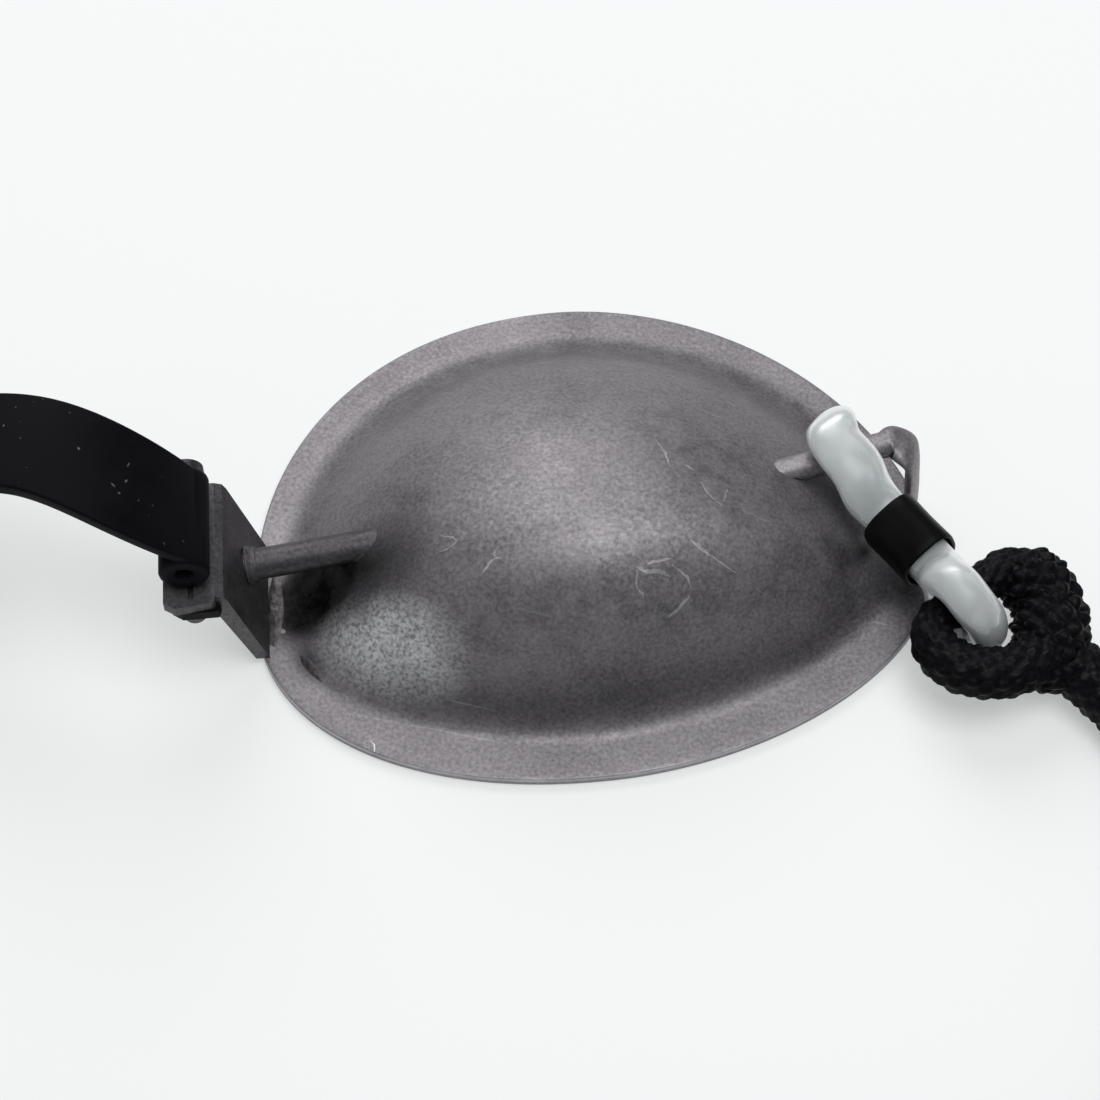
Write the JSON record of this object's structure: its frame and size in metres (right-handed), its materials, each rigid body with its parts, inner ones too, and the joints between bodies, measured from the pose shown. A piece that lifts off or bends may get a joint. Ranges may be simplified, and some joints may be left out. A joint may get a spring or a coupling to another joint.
{
  "type": "eye patch",
  "caption": "Pair of domed metal eye shields hinged on a rubber nose strap, with silicone rings and an elastic headband.",
  "frame": {"origin": "on the floor, midway between the two cups, in the middle of the flanges' depth", "axes": "+X from the left cup to the right cup, +Y up the face towards the brow, +Z away from the face, along the domes"},
  "size_m": [0.2078, 0.0974, 0.0244],
  "materials": {
    "steel": "bead-blasted and worn",
    "black_rubber": "smooth",
    "silicone": "milky translucent",
    "elastic_cord": "braided"
  },
  "bodies": {
    "strap": {"nose_strap": "black_rubber", "right_headband_back": "elastic_cord", "left_headband_back": "elastic_cord"},
    "right_cup": {"right_eye_cup": "steel", "right_nose_post": "steel", "right_nose_bracket": "steel", "right_hinge_pin": "steel", "right_clamp_screw": "steel", "right_clamp_pad": "black_rubber", "right_temple_post": "steel", "right_temple_leg": "steel"},
    "right_ring": {"right_silicone_ring": "silicone", "right_headband_eye": "elastic_cord", "right_headband_knot": "elastic_cord", "right_headband_end": "elastic_cord"},
    "right_collar": {"right_ring_collar": "black_rubber"},
    "left_cup": {"left_eye_cup": "steel", "left_nose_post": "steel", "left_nose_bracket": "steel", "left_hinge_pin": "steel", "left_clamp_screw": "steel", "left_clamp_pad": "black_rubber", "left_temple_post": "steel", "left_temple_leg": "steel"},
    "left_ring": {"left_silicone_ring": "silicone", "left_headband_eye": "elastic_cord", "left_headband_knot": "elastic_cord", "left_headband_end": "elastic_cord"},
    "left_collar": {"left_ring_collar": "black_rubber"}
  },
  "joints": [
    {"name": "right_cup_hinge", "type": "hinge", "parent": "strap", "child": "right_cup", "pos_m": [0.0125, -0.01365, 0.0152], "axis": [0.2756, -0.9613, 0], "range_deg": [-15, 35]},
    {"name": "right_ring_hinge", "type": "hinge", "parent": "right_cup", "child": "right_ring", "pos_m": [0.06545, 0.00899, 0.0078], "axis": [-0.8712, -0.4909, 0], "range_deg": [-1, 15]},
    {"name": "right_collar_slide", "type": "slide", "parent": "right_ring", "child": "right_collar", "axis": [0.766, -0.6428, 0], "range_m": [-0.0005, 0.0003]},
    {"name": "left_cup_hinge", "type": "hinge", "parent": "strap", "child": "left_cup", "pos_m": [-0.0125, -0.01365, 0.0152], "axis": [0.2756, 0.9613, 0], "range_deg": [-15, 35]},
    {"name": "left_ring_hinge", "type": "hinge", "parent": "left_cup", "child": "left_ring", "pos_m": [-0.06545, 0.00899, 0.0078], "axis": [-0.8712, 0.4909, 0], "range_deg": [-1, 15]},
    {"name": "left_collar_slide", "type": "slide", "parent": "left_ring", "child": "left_collar", "axis": [-0.766, -0.6428, 0], "range_m": [-0.0005, 0.0003]}
  ]
}
